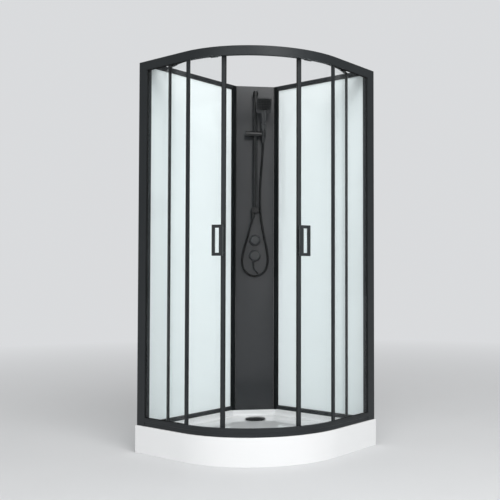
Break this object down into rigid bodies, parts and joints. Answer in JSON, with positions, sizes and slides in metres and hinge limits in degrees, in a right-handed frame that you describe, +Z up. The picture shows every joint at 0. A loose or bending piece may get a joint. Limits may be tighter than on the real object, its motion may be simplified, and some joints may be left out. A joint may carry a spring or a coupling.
{
  "type": "shower cabin",
  "caption": "Quadrant corner shower cabin: low tray, dark framed glazing, curved sliding doors, and a corner column with knobs, riser rail, hose and hand shower.",
  "frame": {"origin": "on the floor under the centre of the tray's square outline", "axes": "+Z up; the wall corner is at -X +Y and the round front corner at +X -Y"},
  "size_m": [0.9, 0.9, 2.037],
  "materials": {
    "acrylic": "gloss",
    "brass": "satin",
    "clear_glass": "gloss",
    "column_paint": "satin",
    "cover_black": "satin",
    "fitting_black": "satin",
    "foot_rubber": "matte",
    "frame_paint": "satin",
    "grey_plastic": "matte",
    "hose": "satin",
    "nylon": "matte",
    "pale_glass": "gloss",
    "seal": "matte",
    "spray": "matte",
    "steel": "satin"
  },
  "bodies": {
    "cabin": {"bottom_rail": "frame_paint", "column_panel": "column_paint", "door_track": "frame_paint", "left_back_bottom_rail": "frame_paint", "left_back_glass": "pale_glass", "left_back_top_rail": "frame_paint", "left_corner_post": "frame_paint", "left_fixed_glass": "clear_glass", "left_fixed_post": "frame_paint", "left_wall_channel": "frame_paint", "left_wall_profile": "frame_paint", "lower_escutcheon": "fitting_black", "mixer_body": "brass", "right_back_bottom_rail": "frame_paint", "right_back_glass": "pale_glass", "right_back_top_rail": "frame_paint", "right_corner_post": "frame_paint", "right_fixed_glass": "clear_glass", "right_fixed_post": "frame_paint", "right_wall_channel": "frame_paint", "right_wall_profile": "frame_paint", "riser_foot": "fitting_black", "riser_rail": "fitting_black", "riser_top_bracket": "fitting_black", "shower_hose": "hose", "shower_tray": "acrylic", "support_frame": "steel", "top_rail": "frame_paint", "tray_feet": "foot_rubber", "upper_escutcheon": "fitting_black", "waste_trap": "grey_plastic"},
    "left_door": {"left_door_glass": "clear_glass", "left_lead_stile": "frame_paint", "left_trail_stile": "frame_paint", "left_door_seal": "seal", "left_handle": "frame_paint", "left_lead_hanger": "frame_paint", "left_trail_hanger": "frame_paint", "left_foot_guide": "nylon"},
    "left_lead_wheel": {"left_lead_roller": "nylon"},
    "left_trail_wheel": {"left_trail_roller": "nylon"},
    "right_door": {"right_door_glass": "clear_glass", "right_lead_stile": "frame_paint", "right_trail_stile": "frame_paint", "right_door_seal": "seal", "right_handle": "frame_paint", "right_lead_hanger": "frame_paint", "right_trail_hanger": "frame_paint", "right_foot_guide": "nylon"},
    "right_lead_wheel": {"right_lead_roller": "nylon"},
    "right_trail_wheel": {"right_trail_roller": "nylon"},
    "slider": {"slider_body": "fitting_black"},
    "lock": {"slider_knob": "fitting_black"},
    "holder": {"cone_holder": "fitting_black"},
    "hand_shower": {"handset": "fitting_black", "spray_plate": "spray"},
    "flow_knob": {"upper_knob": "fitting_black"},
    "heat_knob": {"lower_knob": "fitting_black", "lower_lever": "fitting_black"},
    "cover": {"drain_cover": "cover_black"}
  },
  "joints": [
    {"name": "left_door_swing", "type": "hinge", "parent": "cabin", "child": "left_door", "pos_m": [-0.1, 0.1, 1], "axis": [0, 0, -1], "range_deg": [-20.4, 10]},
    {"name": "left_lead_wheel_spin", "type": "hinge", "parent": "left_door", "child": "left_lead_wheel", "pos_m": [0.04795, -0.37677, 2.0193], "axis": [0.2964, -0.9551, 0], "continuous": true},
    {"name": "left_trail_wheel_spin", "type": "hinge", "parent": "left_door", "child": "left_trail_wheel", "pos_m": [-0.22336, -0.38372, 2.0193], "axis": [-0.2471, -0.969, 0], "continuous": true},
    {"name": "right_door_swing", "type": "hinge", "parent": "cabin", "child": "right_door", "pos_m": [-0.1, 0.1, 1], "axis": [0, 0, 1], "range_deg": [-19.4, 11]},
    {"name": "right_lead_wheel_spin", "type": "hinge", "parent": "right_door", "child": "right_lead_wheel", "pos_m": [0.37406, -0.05643, 2.0193], "axis": [0.9496, -0.3134, 0], "continuous": true},
    {"name": "right_trail_wheel_spin", "type": "hinge", "parent": "right_door", "child": "right_trail_wheel", "pos_m": [0.38584, 0.21471, 2.0193], "axis": [0.9732, 0.2298, 0], "continuous": true},
    {"name": "slider_lift", "type": "slide", "parent": "cabin", "child": "slider", "axis": [0, 0, 1], "range_m": [-0.4, 0.2], "deforming": ["shower_hose"]},
    {"name": "lock_turn", "type": "hinge", "parent": "slider", "child": "lock", "pos_m": [-0.30145, 0.24489, 1.743], "axis": [0.7071, 0.7071, 0], "range_deg": [-90, 90]},
    {"name": "holder_tilt", "type": "hinge", "parent": "slider", "child": "holder", "pos_m": [-0.24064, 0.3057, 1.743], "axis": [0.7071, 0.7071, 0], "range_deg": [0, 30], "deforming": ["shower_hose"]},
    {"name": "hand_shower_pull", "type": "slide", "parent": "holder", "child": "hand_shower", "axis": [0.2185, -0.2185, 0.9511], "range_m": [0, 0.12], "deforming": ["shower_hose"]},
    {"name": "flow_turn", "type": "hinge", "parent": "cabin", "child": "flow_knob", "pos_m": [-0.2958, 0.2958, 1.122], "axis": [0.7071, -0.7071, 0], "range_deg": [0, 90]},
    {"name": "heat_turn", "type": "hinge", "parent": "cabin", "child": "heat_knob", "pos_m": [-0.2958, 0.2958, 1.031], "axis": [0.7071, -0.7071, 0], "range_deg": [-60, 60]},
    {"name": "cover_lift", "type": "slide", "parent": "cabin", "child": "cover", "axis": [0, 0, 1], "range_m": [0, 0.06]}
  ],
  "couplings": [
    {"joint": "left_lead_wheel_spin", "follows": "left_door_swing", "ratio": 45.382},
    {"joint": "left_trail_wheel_spin", "follows": "left_door_swing", "ratio": 45.382},
    {"joint": "right_lead_wheel_spin", "follows": "right_door_swing", "ratio": -45.382},
    {"joint": "right_trail_wheel_spin", "follows": "right_door_swing", "ratio": -45.382}
  ]
}
